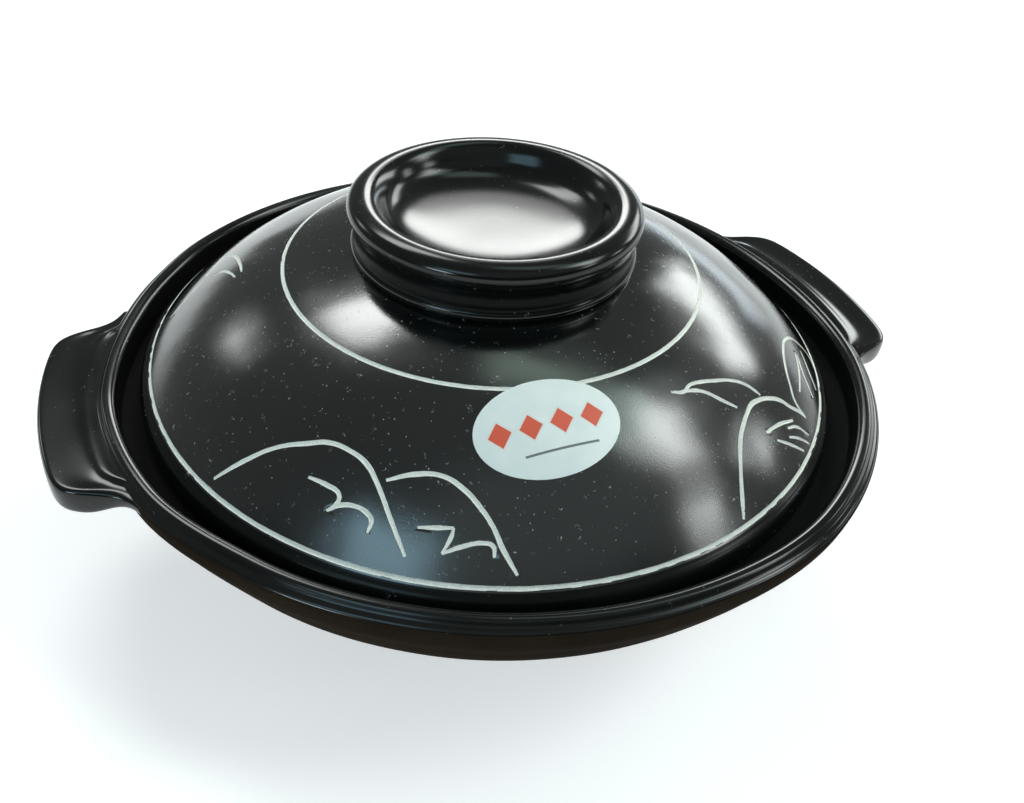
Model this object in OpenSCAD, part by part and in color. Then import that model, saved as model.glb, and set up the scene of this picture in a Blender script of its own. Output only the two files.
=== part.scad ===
// Glazed clay sand pot with a carved dome lid.
// Z is up, the pot stands on its foot ring at z = 0 and its two ears lie along X.

/* [Pot] */
// Outside diameter of the pot over its rim
rim_d = 240; // [222:1:270]
// Height from the table to the crest of the rim
pot_h = 60; // [54:1:80]
// Thickness of the bowl wall
bowl_wall = 6.5; // [5:0.5:8]
// Thickness of the clay under the cooking floor
floor_t = 7; // [5:0.5:10]
// Outside diameter of the foot ring
foot_d = 130; // [110:1:146]
// Width of the foot ring
foot_w = 7; // [5:0.5:10]
// Height of the belly above the table, where it leaves the foot ring
foot_h = 4; // [3:0.5:6]
// How far the belly runs outward before it turns up
belly_out = 29; // [20:1:34]
// How much the upper wall leans inward on its way down
wall_lean = 6; // [2:0.5:10]

/* [Rim and lid seat] */
// Width of the rim from its outside to the lid channel
rim_w = 7; // [6:0.5:9]
// Radius of the crest roll at the channel side
crest_round = 2.8; // [2:0.1:3]
// Radius of the outer bead of the rim
bead_round = 2; // [1.5:0.1:2.4]
// Height of the thickened band under the crest
band_h = 10; // [8:0.5:14]
// Depth of the lid ledge below the crest
seat_depth = 9; // [7:0.5:12]
// Width of the lid ledge
ledge_w = 12; // [10:0.5:14]
// Open channel between the lid and the rim
channel_gap = 5; // [2:0.5:6]

/* [Ears] */
// How far each ear stands out past the rim
ear_reach = 16.5; // [12:0.5:24]
// Width of an ear half way along its reach
ear_w = 80; // [56:1:92]
// How far the left ear is set out of line with the right one, in degrees
left_ear_skew = 2.5; // [0:0.5:4]
// Thickness of an ear
ear_t = 8; // [6:0.5:10]
// How far the top of an ear lies below the crest of the rim
ear_drop = 1.8; // [1.5:0.1:3]
// Depth of the shallow dish in the top of an ear
ear_dish = 1; // [0:0.1:1.5]
// Rounding of the edge of an ear
ear_round = 3.5; // [2.5:0.1:3.9]

/* [Lid] */
// Height of the middle of the dome above the crest of the rim
crown_h = 36; // [30:1:50]
// Thickness of the lid wall
lid_wall = 6.5; // [5:0.5:8]
// How full the shoulder of the dome is
fullness = 3; // [2.5:0.1:3.5]
// Clearance between the lid skirt and the inside of the ledge
skirt_gap = 1.5; // [1:0.1:2.5]
// Thickness of the skirt under the lid
skirt_t = 6; // [4:0.5:8]
// How far the skirt reaches below the ledge
skirt_h = 5; // [3:0.5:8]
// Distance of the lower carved ring from the edge of the lid
ring_inset = 3.8; // [3:0.1:5]
// Radius of the upper carved ring
ring_high_r = 62.6; // [54:0.2:72]
// Width of the carved rings
groove_w = 1.4; // [1:0.1:2.2]
// Depth of the carved rings
groove_depth = 0.6; // [0.4:0.1:0.9]

/* [Knob] */
// Outside diameter over the upper bead of the knob
knob_d = 86.4; // [76:0.2:96]
// Outside diameter over the lower ridge of the knob
knob_base_d = 85; // [74:0.5:92]
// Outside diameter of the hollow waist between the two
knob_waist_d = 82; // [70:0.5:88]
// Height of the knob above the middle of the dome
knob_h = 14.8; // [12:0.2:22]
// Depth of the dish in the top of the knob
dish_depth = 9.8; // [6:0.2:10]
// Distance of the crest of the knob from its outside
crest_in = 5.2; // [4.5:0.1:7]

/* [Label] */
// Width of the oval label
label_w = 39.5; // [20:0.5:50]
// Height of the oval label
label_h = 27.5; // [16:0.5:30]
// Distance of the middle of the label from the edge of the lid
label_inset = 34; // [26:0.5:40]
// Direction of the label around the lid
label_angle = -100; // [-180:1:180]
// Turn of the label in its own plane
label_turn = 3; // [-20:1:20]
// Thickness of the label
label_t = 0.2; // [0.1:0.05:0.4]

/* [Hidden] */
$fn = 120;

glaze = [0.07, 0.075, 0.07];
foil = [0.75, 0.82, 0.78];

rim_r = rim_d / 2;
foot_r = foot_d / 2;
foot_lip = 1;                            // rounding of the foot ring
recess_z = foot_h - 1;                   // underside of the floor inside the foot ring
floor_z = recess_z + floor_t;            // cooking floor

channel_r = rim_r - rim_w;               // wall of the lid channel
ledge_z = pot_h - seat_depth;            // flat ledge that the lid rests on
ledge_in_r = channel_r - ledge_w;        // inner lip of the ledge
ledge_fillet = 1;

lid_r = channel_r - channel_gap;         // edge of the lid
skirt_r = ledge_in_r - skirt_gap;
skirt_in_r = skirt_r - skirt_t;
ring_low_r = lid_r - ring_inset;
label_r = lid_r - label_inset;
ring_low_z = pot_h + 0.3;
crown_z = pot_h + crown_h;
dome_drop = crown_z - ring_low_z;
dome_end_r = lid_r - 2.2;                // where the dome turns down into its edge
knob_crest_z = crown_z + knob_h;

// Points on an arc in the radius and height plane.
function arc(c, r, a0, a1, n) =
  [for (i = [0:n]) c + r * [cos(a0 + (a1 - a0) * i / n), sin(a0 + (a1 - a0) * i / n)]];

// Points on a cubic curve between p0 and p3.
function cubic_at(p0, p1, p2, p3, t) =
  pow(1 - t, 3) * p0 + 3 * pow(1 - t, 2) * t * p1 + 3 * (1 - t) * t * t * p2 + pow(t, 3) * p3;
function cubic(p0, p1, p2, p3, n) = [for (i = [0:n]) cubic_at(p0, p1, p2, p3, i / n)];

// Left-hand normal of a direction in the plane.
function left_of(d) = [-d[1], d[0]] / norm(d);
function reverse(list) = [for (i = [len(list) - 1:-1:0]) list[i]];

// Bowl wall: one cubic from the foot ring to the underside of the rim band.
wall_r = rim_r - 1.6;
belly_0 = [foot_r - 1, foot_h + 0.5];
belly_1 = belly_0 + [belly_out, 11.5];
belly_2 = [wall_r - wall_lean, pot_h - band_h - 9];
belly_3 = [wall_r, pot_h - band_h];
belly_n = 26;

function belly_dir(t) =
  3 * pow(1 - t, 2) * (belly_1 - belly_0) + 6 * (1 - t) * t * (belly_2 - belly_1)
  + 3 * t * t * (belly_3 - belly_2);
belly_in = [for (i = [0:belly_n])
  cubic_at(belly_0, belly_1, belly_2, belly_3, i / belly_n)
  + bowl_wall * left_of(belly_dir(i / belly_n))];
shelf_z = ledge_z - skirt_h - 3.5;       // the inner wall starts below the skirt of the lid
inner_wall = [for (p = belly_in) if (p[1] < shelf_z && p[1] > floor_z + 0.3) p];

rim_outer = concat(
  arc([rim_r - bead_round, pot_h - bead_round - 1.6], bead_round, -18, 96, 8),
  arc([channel_r + crest_round, pot_h - crest_round], crest_round, 52, 180, 12)
);
bowl_outer = concat(
  arc([foot_r - foot_lip, foot_lip], foot_lip, -90, 0, 5),
  [[foot_r, foot_h - 1]],
  cubic(belly_0, belly_1, belly_2, belly_3, belly_n),
  [[rim_r - 0.7, pot_h - band_h + 2.4]],
  [[rim_r - 0.25, pot_h - band_h + 4.6]]
);
ledge = concat(
  arc([channel_r - ledge_fillet, ledge_z + ledge_fillet], ledge_fillet, 0, -90, 4),
  arc([ledge_in_r + ledge_fillet, ledge_z - ledge_fillet], ledge_fillet, 90, 180, 4),
  [[ledge_in_r, ledge_z - 3.5]],
  [[ledge_in_r + 1.6, ledge_z - 6.2]]
);
floor_in = [
  [inner_wall[0][0] - 2.5, floor_z + 0.9],
  [inner_wall[0][0] - 7, floor_z + 0.2],
  [inner_wall[0][0] - 13, floor_z],
  [0, floor_z]
];
foot_in = concat(
  [[0, recess_z]],
  [[foot_r - foot_w - 2, recess_z]],
  arc([foot_r - foot_w + foot_lip, foot_lip], foot_lip, 180, 270, 5)
);

// Lid: the height of the dome falls with a power of the radius.
function dome_z(r) = crown_z - dome_drop * pow(r / ring_low_r, fullness);
function dome_slope(r) =
  -dome_drop * fullness * pow(r / ring_low_r, fullness - 1) / ring_low_r;
function dome_normal(r) = [-dome_slope(r), 1] / norm([dome_slope(r), 1]);
function dome_at(r, lift) = [r, dome_z(r)] + lift * dome_normal(r);

dome_n = 40;
dome_out = [for (i = [0:dome_n]) dome_at(dome_end_r * i / dome_n, 0)];
edge_z = dome_z(dome_end_r) + dome_slope(dome_end_r) * (lid_r - dome_end_r);
edge_turn = [for (i = [1:6])
  cubic_at(
    [dome_end_r, dome_z(dome_end_r)],
    [(dome_end_r + 2 * lid_r) / 3, (dome_z(dome_end_r) + 2 * edge_z) / 3],
    [lid_r, edge_z - 0.4],
    [lid_r, edge_z - 1.6],
    i / 6
  )];
dome_in = [for (i = [0:dome_n])
  let (p = dome_at(dome_end_r * i / dome_n, -lid_wall))
  if (p[0] < skirt_in_r - 0.5 && p[1] > ledge_z + 1) p];
lid_foot = concat(
  [[skirt_in_r, dome_in[len(dome_in) - 1][1] - 1]],
  arc([skirt_in_r + 1.2, ledge_z - skirt_h + 1.2], 1.2, 180, 270, 4),
  arc([skirt_r - 1.2, ledge_z - skirt_h + 1.2], 1.2, 270, 360, 4),
  [[skirt_r, ledge_z]],
  arc([lid_r - 1.5, ledge_z + 1.5], 1.5, -90, 0, 5)
);

// Knob: a dished drum with a bead at the top and a ridge at its foot.
knob_r = knob_d / 2;
knob_base_r = knob_base_d / 2;
base_round = 1.7;
base_ridge_z = crown_z - 0.2;
bead_z = knob_crest_z - 3.7;
crest_r = knob_r - crest_in;
dish_z = knob_crest_z - dish_depth;
knob_foot = concat(
  [[0, crown_z - 12]],
  [[knob_base_r - 4, crown_z - 12]],
  [[knob_base_r - 2.2, base_ridge_z - base_round - 0.3]],
  arc([knob_base_r - base_round, base_ridge_z], base_round, -55, 60, 6)
);
knob_side = cubic(
  [knob_base_r - 0.75, base_ridge_z + 1.9],
  [knob_waist_d / 2 - 0.3, base_ridge_z + 4],
  [knob_waist_d / 2 - 0.5, bead_z - 4],
  [knob_r - 0.9, bead_z - 2.4],
  10
);
knob_bead = concat(
  arc([knob_r - 3, bead_z], 3, -40, 0, 4),
  cubic([knob_r, bead_z + 0.3], [knob_r, bead_z + 2.3], [crest_r + 3, knob_crest_z],
    [crest_r, knob_crest_z], 10)
);
knob_dish = concat(
  cubic([crest_r - 0.4, knob_crest_z], [crest_r - 2.6, knob_crest_z],
    [crest_r - 4, knob_crest_z - 1.6], [crest_r - 5.4, knob_crest_z - 3.8], 8),
  cubic([crest_r - 5.7, knob_crest_z - 4.3], [crest_r - 8.6, dish_z + 1.2],
    [crest_r - 15, dish_z], [0, dish_z], 16)
);

// Ear: its reach falls off to both sides in a squared bell.
ear_square = 14;
ear_half = ear_w / 2 / (rim_r + ear_reach / 2) * 180 / PI;
ear_stub = 0.8;                          // reach that is left where the ear ends
ear_end = ear_half * pow(ear_reach / ear_stub - 1, 1 / ear_square);
ear_root_r = rim_r - 4;
ear_top_z = pot_h - ear_drop;
ear_cols = 44;
ear_nose_n = 8;

function ear_edge(a) = rim_r + ear_reach / (1 + pow(abs(a) / ear_half, ear_square));
function ear_angle(i) =
  let (t = 2 * i / ear_cols - 1)
  sign(t) * ear_end * (1 - pow(1 - abs(t), 1.7));
function ear_run(a) = (ear_edge(a + 0.05) - ear_edge(a - 0.05)) / (0.1 * PI / 180);
function ear_roll(a) =
  min(ear_round * norm([1, ear_run(a) / ear_edge(a)]), ear_edge(a) - ear_root_r - 0.6);
function ear_top(r) =
  ear_top_z - ear_dish * pow(sin(180 * min(1, max(0, (r - rim_r - 1) / (ear_reach - 3)))), 2);
function ear_under(r) =
  ear_top_z - ear_t - 4 * pow(max(0, 1 - (r - ear_root_r) / 9), 2);

// One slice through an ear, from its root over the top and round the edge to the underside.
function ear_slice(a) =
  let (
    edge = ear_edge(a),
    flat = edge - ear_roll(a),
    top = ear_top(flat),
    low = ear_under(flat),
    mid = (top + low) / 2,
    half = (top - low) / 2
  )
  concat(
    [for (i = [0:6])
      let (r = ear_root_r + (flat - ear_root_r) * i / 7) [r, ear_top(r)]],
    [for (i = [0:ear_nose_n])
      let (b = 90 - 180 * i / ear_nose_n)
      [flat + (edge - flat) * pow(abs(cos(b)), 0.6), mid + half * sign(b) * pow(abs(sin(b)), 0.7)]],
    [for (i = [1:5])
      let (r = flat - (flat - ear_root_r) * i / 5) [r, ear_under(r)]]
  );
ear_ring = len(ear_slice(0));
ear_points = [for (i = [0:ear_cols])
  let (a = ear_angle(i))
  for (p = ear_slice(a)) [p[0] * cos(a), p[0] * sin(a), p[1]]];
ear_faces = concat(
  [for (i = [0:ear_cols - 1], j = [0:ear_ring - 1])
    let (k = (j + 1) % ear_ring)
    [i * ear_ring + j, i * ear_ring + k, (i + 1) * ear_ring + k]],
  [for (i = [0:ear_cols - 1], j = [0:ear_ring - 1])
    let (k = (j + 1) % ear_ring)
    [i * ear_ring + j, (i + 1) * ear_ring + k, (i + 1) * ear_ring + j]],
  [[for (j = [ear_ring - 1:-1:0]) j]],
  [[for (j = [0:ear_ring - 1]) ear_cols * ear_ring + j]]
);

module bowl_shape() {
  rotate_extrude()
    polygon(concat(foot_in, bowl_outer, rim_outer, ledge, reverse(inner_wall), floor_in));
}

module bowl_solid_outside() {
  rotate_extrude()
    polygon(concat([[0, 0]], bowl_outer, rim_outer, [[channel_r, ledge_z]], [[0, ledge_z]]));
}

module pot_bowl() {
  color(glaze)
    bowl_shape();
}

module ear() {
  difference() {
    polyhedron(points = ear_points, faces = ear_faces, convexity = 4);
    bowl_solid_outside();
  }
}

module right_ear() {
  color(glaze)
    ear();
}

module left_ear() {
  color(glaze)
    rotate([0, 0, 180 - left_ear_skew])
      ear();
}

module ring_groove(r) {
  ball_r = (pow(groove_w / 2, 2) + pow(groove_depth, 2)) / (2 * groove_depth);
  rotate_extrude()
    translate(dome_at(r, ball_r - groove_depth))
      circle(r = ball_r);
}

module lid_dome() {
  color(glaze)
    difference() {
      rotate_extrude()
        polygon(concat(dome_in, lid_foot, reverse(edge_turn), reverse(dome_out)));
      ring_groove(ring_low_r);
      ring_groove(ring_high_r);
    }
}

module under_dome() {
  rotate_extrude()
    polygon(concat([[0, 0]], [[dome_end_r, 0]], reverse(dome_out)));
}

module lid_knob() {
  color(glaze)
    difference() {
      rotate_extrude()
        polygon(concat(knob_foot, knob_side, knob_bead, knob_dish));
      under_dome();
    }
}

module label_sticker() {
  skin = [for (i = [0:dome_n]) dome_at(dome_end_r * i / dome_n, label_t)];
  color(foil)
    intersection() {
      rotate_extrude()
        polygon(concat([[0, crown_z]], [[0, crown_z + label_t]],
          [for (i = [1:dome_n]) skin[i]], [for (i = [dome_n:-1:1]) dome_out[i]]));
      rotate([0, 0, label_angle])
        translate([label_r, 0, dome_z(label_r)])
          rotate([0, atan(-dome_slope(label_r)), label_turn])
            translate([0, 0, -8])
              linear_extrude(height = 16)
                polygon([for (i = [0:71])
                  [label_h / 2 * cos(5 * i), label_w / 2 * sin(5 * i)]]);
    }
}

pot_bowl();
left_ear();
right_ear();
lid_dome();
lid_knob();
label_sticker();
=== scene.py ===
from math import atan, atan2, cos, degrees, exp, hypot, pi, radians, sin

import bmesh
import bpy
from mathutils import Matrix, Vector


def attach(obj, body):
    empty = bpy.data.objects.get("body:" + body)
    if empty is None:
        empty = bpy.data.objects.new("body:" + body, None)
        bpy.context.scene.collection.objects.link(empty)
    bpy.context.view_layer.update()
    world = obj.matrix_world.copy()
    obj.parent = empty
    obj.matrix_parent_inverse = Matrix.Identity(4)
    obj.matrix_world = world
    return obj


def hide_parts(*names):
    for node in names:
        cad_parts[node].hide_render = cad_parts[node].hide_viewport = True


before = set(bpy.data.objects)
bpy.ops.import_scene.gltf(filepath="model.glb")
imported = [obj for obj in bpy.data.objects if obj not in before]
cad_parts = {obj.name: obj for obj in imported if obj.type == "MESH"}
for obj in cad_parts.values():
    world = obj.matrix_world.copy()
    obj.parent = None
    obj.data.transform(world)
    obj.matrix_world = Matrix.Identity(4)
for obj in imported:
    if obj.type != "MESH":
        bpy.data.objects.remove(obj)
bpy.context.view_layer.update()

# A glazed clay sand pot with a domed lid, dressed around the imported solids. Sizes are in
# millimetres, as in the part's source, and go to metres when a point is placed.
MM = 0.001

# Sizes of the pot, the same as in the part's source
RIM_R = 120.0
POT_H = 60.0
BOWL_WALL = 6.5
FLOOR_T = 7.0
FOOT_R = 65.0
FOOT_W = 7.0
FOOT_H = 4.0
BELLY_OUT = 29.0
WALL_LEAN = 6.0
CREST_ROUND = 2.8
BEAD_ROUND = 2.0
BAND_H = 10.0
CHANNEL_R = RIM_R - 7.0
LEDGE_Z = POT_H - 9.0
LEDGE_IN_R = CHANNEL_R - 12.0
SKIRT_H = 5.0
LID_R = CHANNEL_R - 5.0
SKIRT_R = LEDGE_IN_R - 1.5
SKIRT_IN_R = SKIRT_R - 6.0
LID_WALL = 6.5
RING_LOW_R = LID_R - 3.8
RING_HIGH_R = 62.6
CROWN_Z = POT_H + 36.0
DOME_DROP = CROWN_Z - POT_H - 0.3
KNOB_R = 43.2
KNOB_BASE_R = 42.5
KNOB_WAIST_R = 41.0
KNOB_CREST_Z = CROWN_Z + 14.8
KNOB_CREST_R = KNOB_R - 5.2
DISH_Z = KNOB_CREST_Z - 9.8
EAR_REACH = 16.5
EAR_W = 80.0
EAR_T = 8.0
EAR_TOP_Z = POT_H - 1.8
LEFT_EAR_SKEW = 2.5
LABEL_R = LID_R - 34.0
LABEL_ANGLE = -100.0
LABEL_SIZE = (27.5, 39.5)

# Sizes of details, finer than in the part's source
BEAD_DROP = 1.6                   # from the crest of the rim down to the top of its bead
BEAD_END, CREST_START = 80, 74    # degrees, where the valley between the two begins and ends
BELL_POWER = 14                   # how square the outline of an ear is
EAR_STUB = 0.3                    # how far an ear still stands out at its two ends
EAR_DISH = 0.2                    # how deep its top is dished
EAR_ROUND = 1.7                   # the round of its outer edge
SLIP_H, SLIP_R, SLIP_SPREAD = 0.42, 2.4, 2.2    # the roll of slip between ear and rim
DOME_END_R = LID_R - 2.7          # where the dome turns down into its shoulder
GROOVE_SHARE = 0.3                # depth of a scratched line to its width
CUT_R = (30, 105.6)               # between these radii the cut faces are looked for
CUT_DEPTH = (0.05, 1.5)           # and as far as this under the thrown surface
LABEL_TURN = 9.0                  # degrees, the turn of the oval on the dome
MARK_TURN = 8.0                   # degrees, the turn of what is printed on it
MARKS_ALONG = (-12.3, -4.1, 4.1, 12.3)
MARKS_UP, MARK_REACH, MARK_EDGE = 2.0, 3.1, 0.6
LINE_DOWN, LINE_ALONG, LINE_HALF, LINE_THICK = 4.4, 2.2, 9.8, 0.27


# Working as by hand
def lay_down():
    """Leaves edit mode and lets go of everything."""
    if bpy.context.object and bpy.context.object.mode != "OBJECT":
        bpy.ops.object.mode_set(mode="OBJECT")
    bpy.ops.object.select_all(action="DESELECT")


def take(piece):
    """Picks up one piece alone."""
    lay_down()
    piece.select_set(True)
    bpy.context.view_layer.objects.active = piece
    return piece


def name_piece(piece, name):
    piece.name = name
    piece.data.name = name
    return piece


def finish_modifier(piece, kind, **settings):
    """Adds one modifier, sets it and applies it."""
    take(piece)
    modifier = piece.modifiers.new(kind.lower(), kind)
    for key, value in settings.items():
        setattr(modifier, key, value)
    bpy.ops.object.modifier_apply(modifier=modifier.name)
    return piece


def smooth_surface(piece, levels=1):
    return finish_modifier(piece, "SUBSURF", levels=levels, render_levels=levels)


def shade(piece, angle=40):
    take(piece)
    bpy.ops.object.shade_smooth_by_angle(angle=radians(angle))
    return piece


def settle(piece):
    """Puts a piece's place into its mesh."""
    take(piece)
    bpy.ops.object.transform_apply(location=True, rotation=True, scale=True)
    return piece


def close_up(merge=0.00001):
    """In edit mode: seams and poles are merged, and the faces turned outward."""
    bpy.ops.mesh.select_all(action="SELECT")
    bpy.ops.mesh.remove_doubles(threshold=merge)
    bpy.ops.mesh.select_all(action="SELECT")
    bpy.ops.mesh.normals_make_consistent(inside=False)


def trace_line(name, points):
    """A line drawn point by point: one point is placed, and the rest are pulled from it."""
    lay_down()
    bpy.ops.mesh.primitive_plane_add(size=MM)
    piece = name_piece(bpy.context.object, name)
    bpy.ops.object.mode_set(mode="EDIT")
    bpy.ops.mesh.select_all(action="SELECT")
    bpy.ops.mesh.merge(type="CENTER")
    bpy.ops.transform.translate(value=Vector(points[0]))
    for here, there in zip(points, points[1:]):
        bpy.ops.mesh.extrude_region_move(
            TRANSFORM_OT_translate={"value": Vector(there) - Vector(here)})
    return piece


def turn_on_wheel(name, profile, steps):
    """A thrown form: its profile, radius and height in mm, is smoothed and then spun round
    the upright axis, an eighth of a turn that is copied seven times."""
    piece = smooth_surface(trace_line(name, [(r * MM, 0.0, z * MM) for r, z in profile]))
    bpy.ops.object.mode_set(mode="EDIT")
    bpy.ops.mesh.select_all(action="SELECT")
    bpy.ops.mesh.spin(steps=steps // 8, angle=pi / 4, center=(0, 0, 0), axis=(0, 0, 1))
    bpy.ops.mesh.select_all(action="SELECT")
    bpy.ops.mesh.spin(steps=7, dupli=True, angle=7 * pi / 4, center=(0, 0, 0), axis=(0, 0, 1))
    close_up()
    lay_down()
    return piece


def arc(centre, radius, start, end, steps):
    """Points on an arc in the radius and height plane, angles in degrees."""
    turns = [radians(start + (end - start) * i / steps) for i in range(steps + 1)]
    return [(centre[0] + radius * cos(t), centre[1] + radius * sin(t)) for t in turns]


def cubic_point(p0, p1, p2, p3, t):
    weights = ((1 - t) ** 3, 3 * (1 - t) ** 2 * t, 3 * (1 - t) * t * t, t ** 3)
    return tuple(sum(w * p[k] for w, p in zip(weights, (p0, p1, p2, p3))) for k in (0, 1))


def cubic(p0, p1, p2, p3, steps):
    return [cubic_point(p0, p1, p2, p3, i / steps) for i in range(steps + 1)]


# The bowl
RECESS_Z = FOOT_H - 1
FLOOR_Z = RECESS_Z + FLOOR_T
BELLY = ((FOOT_R - 1, FOOT_H + 0.5), (FOOT_R - 1 + BELLY_OUT, FOOT_H + 12),
         (RIM_R - 1.6 - WALL_LEAN, POT_H - BAND_H - 9), (RIM_R - 1.6, POT_H - BAND_H))


def belly_inside(t):
    """The inner wall: the belly moved inward by the thickness of the clay."""
    here = cubic_point(*BELLY, t)
    before, after = cubic_point(*BELLY, t - 0.005), cubic_point(*BELLY, t + 0.005)
    run, rise = after[0] - before[0], after[1] - before[1]
    length = hypot(run, rise)
    return here[0] - BOWL_WALL * rise / length, here[1] + BOWL_WALL * run / length


def bowl_profile():
    """From the middle of the underside out over foot, belly, bead and crest, then down
    the channel, over the ledge and along the inner wall to the middle of the floor."""
    foot = [(0, RECESS_Z), (20, RECESS_Z), (40, RECESS_Z), (FOOT_R - FOOT_W - 3, RECESS_Z)]
    foot += arc((FOOT_R - FOOT_W + 1, 1), 1, 180, 270, 3)
    foot += arc((FOOT_R - 1, 1), 1, -90, 0, 4) + [(FOOT_R, FOOT_H - 1)]
    band = [(RIM_R - 0.7, POT_H - BAND_H + 2.4), (RIM_R - 0.25, POT_H - BAND_H + 4.6)]
    bead = arc((RIM_R - BEAD_ROUND, POT_H - BEAD_ROUND - BEAD_DROP), BEAD_ROUND,
               -18, BEAD_END, 14)
    crest = arc((CHANNEL_R + CREST_ROUND, POT_H - CREST_ROUND), CREST_ROUND,
                CREST_START, 180, 18)
    (bead_r, bead_z), (crest_r, crest_z) = bead[-1], crest[0]
    valley = cubic((bead_r, bead_z), (bead_r - 0.6, bead_z + 0.1),
                   (crest_r + 0.6, crest_z - 0.17), (crest_r, crest_z), 8)[1:-1]
    ledge = arc((CHANNEL_R - 1, LEDGE_Z + 1), 1, 0, -90, 3)
    ledge += arc((LEDGE_IN_R + 1, LEDGE_Z - 1), 1, 90, 180, 3)
    ledge += [(LEDGE_IN_R, LEDGE_Z - 3.5), (LEDGE_IN_R + 1.6, LEDGE_Z - 6.2)]
    shelf_z = LEDGE_Z - SKIRT_H - 3.5
    wall = [belly_inside(i / 14) for i in range(14, 0, -1)]
    wall = [p for p in wall if FLOOR_Z + 0.3 < p[1] < shelf_z]
    last = wall[-1][0]
    floor = [(last - 2.5, FLOOR_Z + 0.9), (last - 7, FLOOR_Z + 0.2), (last - 13, FLOOR_Z),
             (36, FLOOR_Z), (18, FLOOR_Z), (0, FLOOR_Z)]
    return foot + cubic(*BELLY, 12) + band + bead + valley + crest + ledge + wall + floor


bowl = turn_on_wheel("pot_bowl_thrown", bowl_profile(), 320)


# The ears
EAR_ROOT_R = RIM_R - 4
EAR_HALF = degrees(EAR_W / 2 / (RIM_R + EAR_REACH / 2))
EAR_END = EAR_HALF * (EAR_REACH / EAR_STUB - 1) ** (1 / BELL_POWER)
NOSE_START = RIM_R + EAR_REACH - EAR_ROUND


def ear_edge(angle):
    """How far out the ear reaches: a squared bell that runs out into the rim."""
    return RIM_R + EAR_REACH / (1 + (abs(angle) / EAR_HALF) ** BELL_POWER)


def ear_nose(angle):
    """The depth of the rounded edge along a radius, deeper where the edge runs aslant."""
    run = (ear_edge(angle + 0.05) - ear_edge(angle - 0.05)) / radians(0.1)
    return min(EAR_ROUND * hypot(1, run / ear_edge(angle)), ear_edge(angle) - EAR_ROOT_R - 0.6)


def ear_top(r):
    """The top of the plate: a soft roll of slip against the rim and a shallow dish."""
    roll = SLIP_H * exp(-((r - RIM_R - SLIP_R) / SLIP_SPREAD) ** 2)
    dish = sin(pi * min(1, max(0, (r - RIM_R - 1) / (EAR_REACH - 3)))) ** 2
    return EAR_TOP_Z - EAR_DISH * dish + roll


def ear_slice():
    """The middle slice: a dished plate with a round nose, thicker under its root."""
    plate = [EAR_ROOT_R + (NOSE_START - EAR_ROOT_R) * i / 24 for i in range(25)]
    top = [(r, ear_top(r)) for r in plate]
    under = [(r, EAR_TOP_Z - EAR_T - 4 * max(0, 1 - (r - EAR_ROOT_R) / 9) ** 2)
             for r in plate[::2]]
    mid, half = (top[-1][1] + under[-1][1]) / 2, (top[-1][1] - under[-1][1]) / 2
    nose = []
    for i in range(1, 10):
        turn = radians(90 - 18 * i)
        lift = abs(sin(turn)) ** 0.7 * (1 if turn > 0 else -1)
        nose.append((NOSE_START + EAR_ROUND * abs(cos(turn)) ** 0.6, mid + half * lift))
    return top + nose + under[::-1]


def select_slice(piece, angle, near=-1):
    """In edit mode: selects the points of one slice, from a radius outward."""
    mesh = bmesh.from_edit_mesh(piece.data)
    for vert in mesh.verts:
        here = degrees(atan2(vert.co.y, vert.co.x))
        r = hypot(vert.co.x, vert.co.y) / MM
        vert.select = abs(here - angle) < 0.01 and near - 0.001 < r
    mesh.select_flush_mode()


def pull_slice(piece, angle, near, factor):
    """In edit mode: stretches a slice beyond a radius, in or out along its direction."""
    select_slice(piece, angle, near)
    out = Vector((cos(radians(angle)), sin(radians(angle)), 0))
    turned = Matrix.Rotation(radians(angle), 3, "Z")
    bpy.ops.transform.resize(
        value=(factor, 1, 1), orient_type="GLOBAL", orient_matrix=turned,
        orient_matrix_type="GLOBAL", center_override=out * near * MM)


def shape_ear(name):
    """The slice is spun through the width of the ear. Each copy of it is then pulled in to
    where the edge runs, and thinned where the ear runs out into the rim."""
    line = ear_slice()
    across, along = cos(radians(EAR_END)) * MM, sin(radians(EAR_END)) * MM
    piece = trace_line(name, [(r * across, r * along, z * MM) for r, z in line + line[:1]])
    bpy.ops.mesh.select_all(action="SELECT")
    bpy.ops.mesh.remove_doubles(threshold=0.00001)
    bpy.ops.mesh.select_all(action="SELECT")
    bpy.ops.mesh.spin(steps=72, angle=2 * radians(EAR_END), center=(0, 0, 0),
                      axis=(0, 0, 1))
    mesh = bmesh.from_edit_mesh(piece.data)
    angles = sorted({round(degrees(atan2(v.co.y, v.co.x)), 2) for v in mesh.verts})
    full = NOSE_START - EAR_ROOT_R
    for angle in angles:
        nose = ear_nose(angle)
        flat = ear_edge(angle) - nose
        pull_slice(piece, angle, EAR_ROOT_R, (flat - EAR_ROOT_R) / full)
        pull_slice(piece, angle, flat, nose * full / (flat - EAR_ROOT_R) / EAR_ROUND)
        thin = 0.3 + 0.7 * min(1, (ear_edge(angle) - RIM_R) / (0.6 * EAR_REACH))
        select_slice(piece, angle)
        bpy.ops.transform.resize(value=(1, 1, thin),
                                 center_override=(0, 0, (EAR_TOP_Z - 1) * MM))
    for end in (-max(angles), max(angles)):
        select_slice(piece, end)
        bpy.ops.mesh.edge_face_add()
    close_up()
    lay_down()
    return piece


right_ear = smooth_surface(shape_ear("right_ear_plate"))
take(right_ear)
bpy.ops.object.duplicate(linked=False)
left_ear = name_piece(bpy.context.object, "left_ear_plate")
left_ear.rotation_euler.z = radians(180 - LEFT_EAR_SKEW)
settle(left_ear)


# The lid
def dome_z(r):
    return CROWN_Z - DOME_DROP * (r / RING_LOW_R) ** 3


def dome_slope(r):
    return -3 * DOME_DROP * (r / RING_LOW_R) ** 2 / RING_LOW_R


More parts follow.
